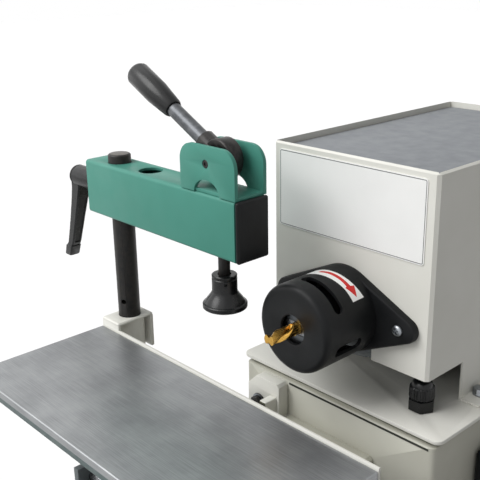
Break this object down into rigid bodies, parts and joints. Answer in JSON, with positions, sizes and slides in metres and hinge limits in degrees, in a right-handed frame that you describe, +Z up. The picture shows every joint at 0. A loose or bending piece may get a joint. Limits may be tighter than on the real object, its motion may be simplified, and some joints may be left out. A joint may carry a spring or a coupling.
{
  "type": "horizontal slot mortiser",
  "caption": "Bench slot mortiser with a motor under a tray cover, guarded chuck and bit, sliding lever table and a cam clamp on a post.",
  "frame": {"origin": "underside of the floor plate, below the spindle axis, in the plane of the motor cover's front face", "axes": "+Z up, -Y the way the bit points (the operator's side), +X to the operator's right"},
  "size_m": [0.5644, 0.7421, 0.5418],
  "materials": {
    "beige_paint": "smooth beige stove enamel on folded sheet steel",
    "green_paint": "green enamel on steel tube and castings",
    "black_plastic": "moulded black plastic",
    "black_steel": "blackened steel",
    "ground_steel": "ground bright steel",
    "dark_steel": "plain dark steel",
    "grey_casting": "machined grey iron",
    "grey_rubber": "ribbed grey rubber mat",
    "dark_rubber": "black rubber",
    "gold_coating": "gold coloured coating on tool steel",
    "motor_grey": "grey paint on a cast motor frame",
    "stop_red": "red moulded button",
    "start_green": "green moulded button"
  },
  "bodies": {
    "base": {"base_floor": "beige_paint", "base_housing": "beige_paint", "base_gasket": "dark_rubber", "base_top_plate": "beige_paint", "motor_cover": "beige_paint", "tray_mat": "grey_rubber", "cover_bolt_left": "dark_steel", "cover_bolt_right": "dark_steel", "motor_body": "motor_grey", "motor_front_bell": "motor_grey", "motor_back_bell": "motor_grey", "fan_cover": "motor_grey", "terminal_box": "black_plastic", "gland_body": "black_plastic", "gland_nut": "black_plastic", "motor_lead": "dark_rubber", "chuck_guard": "black_plastic", "guard_screw_left": "dark_steel", "guard_screw_right": "dark_steel", "guide_hood": "beige_paint", "stop_bar": "beige_paint", "hood_nut": "black_steel", "column_left": "ground_steel", "column_right": "ground_steel", "lift_screw": "ground_steel", "switch_box": "black_plastic"},
    "spindle": {"spindle_shaft": "ground_steel", "motor_fan": "black_plastic", "chuck_body": "dark_steel", "mortise_bit": "gold_coating"},
    "left_jaw": {"jaw_left": "ground_steel"},
    "right_jaw": {"jaw_right": "ground_steel"},
    "start": {"start_button": "start_green"},
    "stop": {"stop_button": "stop_red"},
    "knee": {"knee": "grey_casting", "depth_rod_left": "ground_steel", "depth_rod_right": "ground_steel"},
    "lift_nut": {"lift_nut": "dark_steel"},
    "handwheel": {"lift_handwheel": "black_plastic"},
    "depth_lever": {"depth_lever": "dark_steel"},
    "carriage": {"depth_carriage": "grey_casting", "travel_rod_front": "ground_steel", "travel_rod_back": "ground_steel"},
    "travel_lever": {"travel_lever": "dark_steel"},
    "table": {"table_top": "ground_steel", "table_saddle": "grey_casting", "post_bracket": "beige_paint"},
    "post": {"clamp_post": "black_steel"},
    "arm": {"clamp_arm": "green_paint", "arm_end_cap": "black_plastic", "cam_saddle": "green_paint", "pivot_pin": "dark_steel"},
    "cam": {"cam_hub": "green_paint", "lever_rod": "dark_steel", "lever_grip": "black_plastic"},
    "plunger": {"plunger_rod": "dark_steel", "plunger_spring": "ground_steel"},
    "foot": {"plunger_foot": "black_plastic"},
    "lock": {"lock_lever": "black_plastic", "lock_stud": "ground_steel"}
  },
  "joints": [
    {"name": "spindle_turn", "type": "hinge", "parent": "base", "child": "spindle", "pos_m": [0, 0, 0.31], "axis": [0, -1, 0], "continuous": true},
    {"name": "jaw_left_slide", "type": "slide", "parent": "spindle", "child": "left_jaw", "axis": [-1, 0, 0], "range_m": [0, 0.004]},
    {"name": "jaw_right_slide", "type": "slide", "parent": "spindle", "child": "right_jaw", "axis": [1, 0, 0], "range_m": [0, 0.004]},
    {"name": "table_lift", "type": "slide", "parent": "base", "child": "knee", "axis": [0, 0, 1], "range_m": [-0.025, 0.045]},
    {"name": "lift_nut_turn", "type": "hinge", "parent": "knee", "child": "lift_nut", "pos_m": [0, -0.06, 0.064], "axis": [0, 0, 1], "range_deg": [-564, 1014]},
    {"name": "handwheel_turn", "type": "hinge", "parent": "knee", "child": "handwheel", "pos_m": [0, -0.312, 0.076], "axis": [0, -1, 0], "range_deg": [-564, 1014]},
    {"name": "table_depth", "type": "slide", "parent": "knee", "child": "carriage", "axis": [0, 1, 0], "range_m": [-0.06, 0.034]},
    {"name": "depth_lever_turn", "type": "hinge", "parent": "knee", "child": "depth_lever", "pos_m": [-0.072, -0.203, 0.0545], "axis": [0, 0, 1], "range_deg": [-30.3, 17.2]},
    {"name": "table_travel", "type": "slide", "parent": "carriage", "child": "table", "axis": [1, 0, 0], "range_m": [-0.086, 0.014]},
    {"name": "travel_lever_turn", "type": "hinge", "parent": "carriage", "child": "travel_lever", "pos_m": [-0.036, -0.142, 0.1215], "axis": [0, 0, 1], "range_deg": [-43.4, 7.1]},
    {"name": "post_swivel", "type": "hinge", "parent": "table", "child": "post", "pos_m": [-0.2493, -0.0884, 0.2521], "axis": [0, 0, 1], "range_deg": [-90, 0]},
    {"name": "arm_height", "type": "slide", "parent": "post", "child": "arm", "axis": [0, 0, 1], "range_m": [-0.04, 0.006]},
    {"name": "cam_lever_turn", "type": "hinge", "parent": "arm", "child": "cam", "pos_m": [-0.0815, -0.0884, 0.4612], "axis": [0, -1, 0], "range_deg": [-110, 0]},
    {"name": "plunger_slide", "type": "slide", "parent": "arm", "child": "plunger", "axis": [0, 0, 1], "range_m": [-0.0075, 0], "deforming": ["plunger_spring"]},
    {"name": "foot_spin", "type": "hinge", "parent": "plunger", "child": "foot", "pos_m": [-0.081, -0.0884, 0.3128], "axis": [0, 0, 1], "continuous": true},
    {"name": "lock_lever_turn", "type": "hinge", "parent": "arm", "child": "lock", "pos_m": [-0.2862, -0.0884, 0.40235], "axis": [1, 0, 0], "range_deg": [-60, 60]},
    {"name": "start_press", "type": "slide", "parent": "base", "child": "start", "axis": [-1, 0, 0], "range_m": [0, 0.003], "stiffness_N_per_m": 800},
    {"name": "stop_press", "type": "slide", "parent": "base", "child": "stop", "axis": [-1, 0, 0], "range_m": [0, 0.003], "stiffness_N_per_m": 800}
  ],
  "couplings": [
    {"joint": "jaw_right_slide", "follows": "jaw_left_slide", "ratio": 1},
    {"joint": "lift_nut_turn", "follows": "table_lift", "rad_per_m": 392.7},
    {"joint": "handwheel_turn", "follows": "table_lift", "rad_per_m": 392.7},
    {"joint": "depth_lever_turn", "follows": "table_depth", "rad_per_m": 8.7835},
    {"joint": "travel_lever_turn", "follows": "table_travel", "rad_per_m": 8.7835},
    {"joint": "plunger_slide", "follows": "cam_lever_turn", "m_per_rad": 0.0038}
  ]
}
